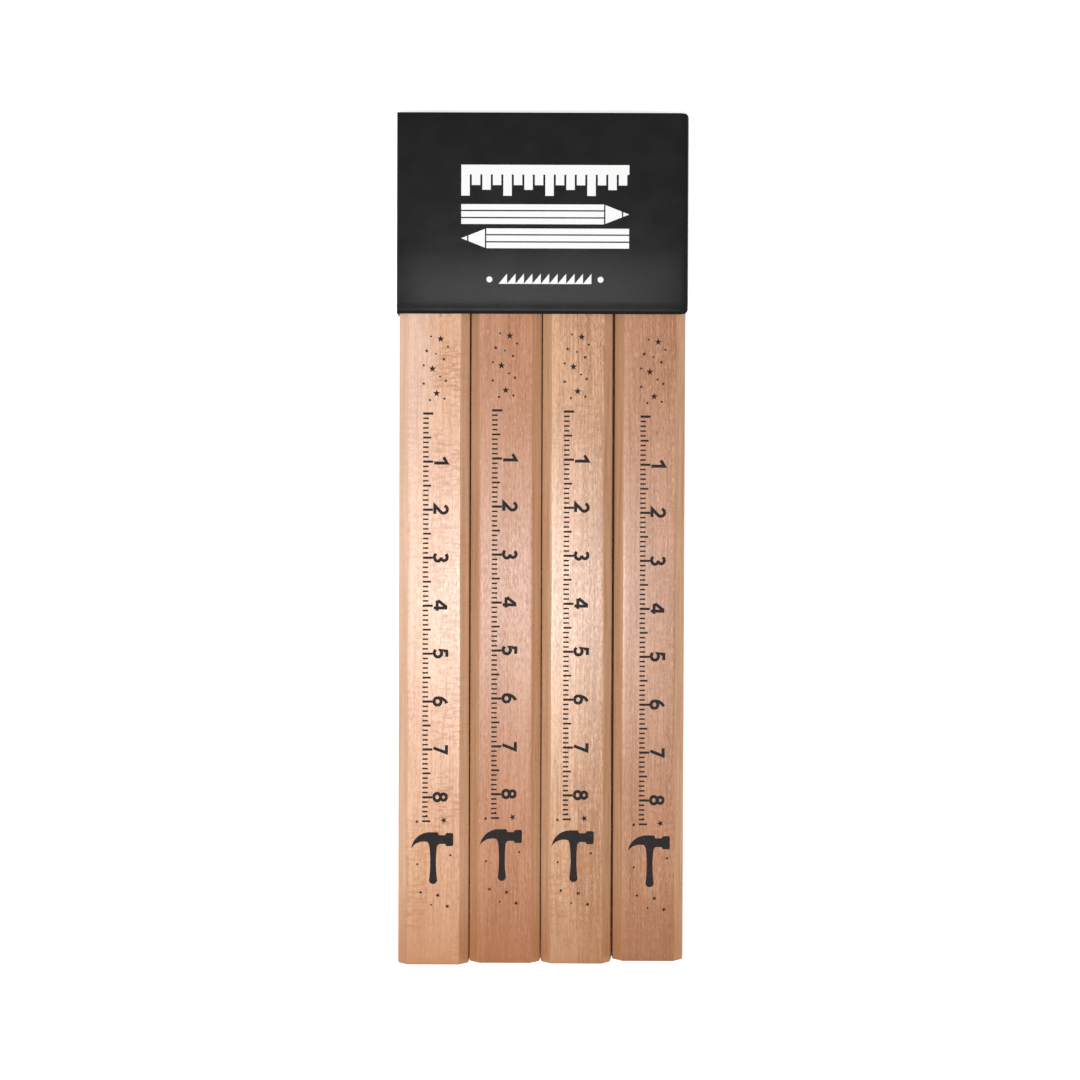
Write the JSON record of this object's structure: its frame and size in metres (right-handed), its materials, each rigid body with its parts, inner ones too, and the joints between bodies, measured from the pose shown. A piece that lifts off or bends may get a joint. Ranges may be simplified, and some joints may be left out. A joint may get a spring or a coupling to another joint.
{
  "type": "carpenter pencil set",
  "caption": "Row of flat unsharpened carpenter pencils in bare wood, each with a flat graphite lead, held side by side at one end by a black folded card sleeve.",
  "frame": {"origin": "middle of the set's footprint, on the surface it lies on", "axes": "+X across the row of pencils, +Y along the pencils towards the sleeve, +Z out of the printed faces"},
  "size_m": [0.0604, 0.1774, 0.0081],
  "materials": {
    "black_card": "black matt-laminated card, dark grey at its cut edges",
    "pencil_1_wood": "bare sanded softwood with a thin satin seal, fine straight grain along Y",
    "pencil_2_wood": "bare sanded softwood with a thin satin seal, fine straight grain along Y",
    "pencil_3_wood": "bare sanded softwood with a thin satin seal, fine straight grain along Y",
    "pencil_4_wood": "bare sanded softwood with a thin satin seal, fine straight grain along Y",
    "graphite": "fired graphite and clay, dark grey with a faint sheen",
    "white_ink": "white printed ink on the sleeve",
    "black_ink": "near-black printed ink on the pencils"
  },
  "bodies": {
    "sleeve": {"card_sleeve": "black_card"},
    "pencil_1": {"pencil_1_upper_slat": "pencil_1_wood", "pencil_1_lower_slat": "pencil_1_wood", "pencil_1_lead": "graphite"},
    "pencil_2": {"pencil_2_upper_slat": "pencil_2_wood", "pencil_2_lower_slat": "pencil_2_wood", "pencil_2_lead": "graphite"},
    "pencil_3": {"pencil_3_upper_slat": "pencil_3_wood", "pencil_3_lower_slat": "pencil_3_wood", "pencil_3_lead": "graphite"},
    "pencil_4": {"pencil_4_upper_slat": "pencil_4_wood", "pencil_4_lower_slat": "pencil_4_wood", "pencil_4_lead": "graphite"}
  },
  "joints": [
    {"name": "pencil_1_slide", "type": "slide", "parent": "sleeve", "child": "pencil_1", "axis": [0, -1, 0], "range_m": [-0.18, 0.18]},
    {"name": "pencil_2_slide", "type": "slide", "parent": "sleeve", "child": "pencil_2", "axis": [0, -1, 0], "range_m": [-0.18, 0.18]},
    {"name": "pencil_3_slide", "type": "slide", "parent": "sleeve", "child": "pencil_3", "axis": [0, -1, 0], "range_m": [-0.18, 0.18]},
    {"name": "pencil_4_slide", "type": "slide", "parent": "sleeve", "child": "pencil_4", "axis": [0, -1, 0], "range_m": [-0.18, 0.18]}
  ]
}
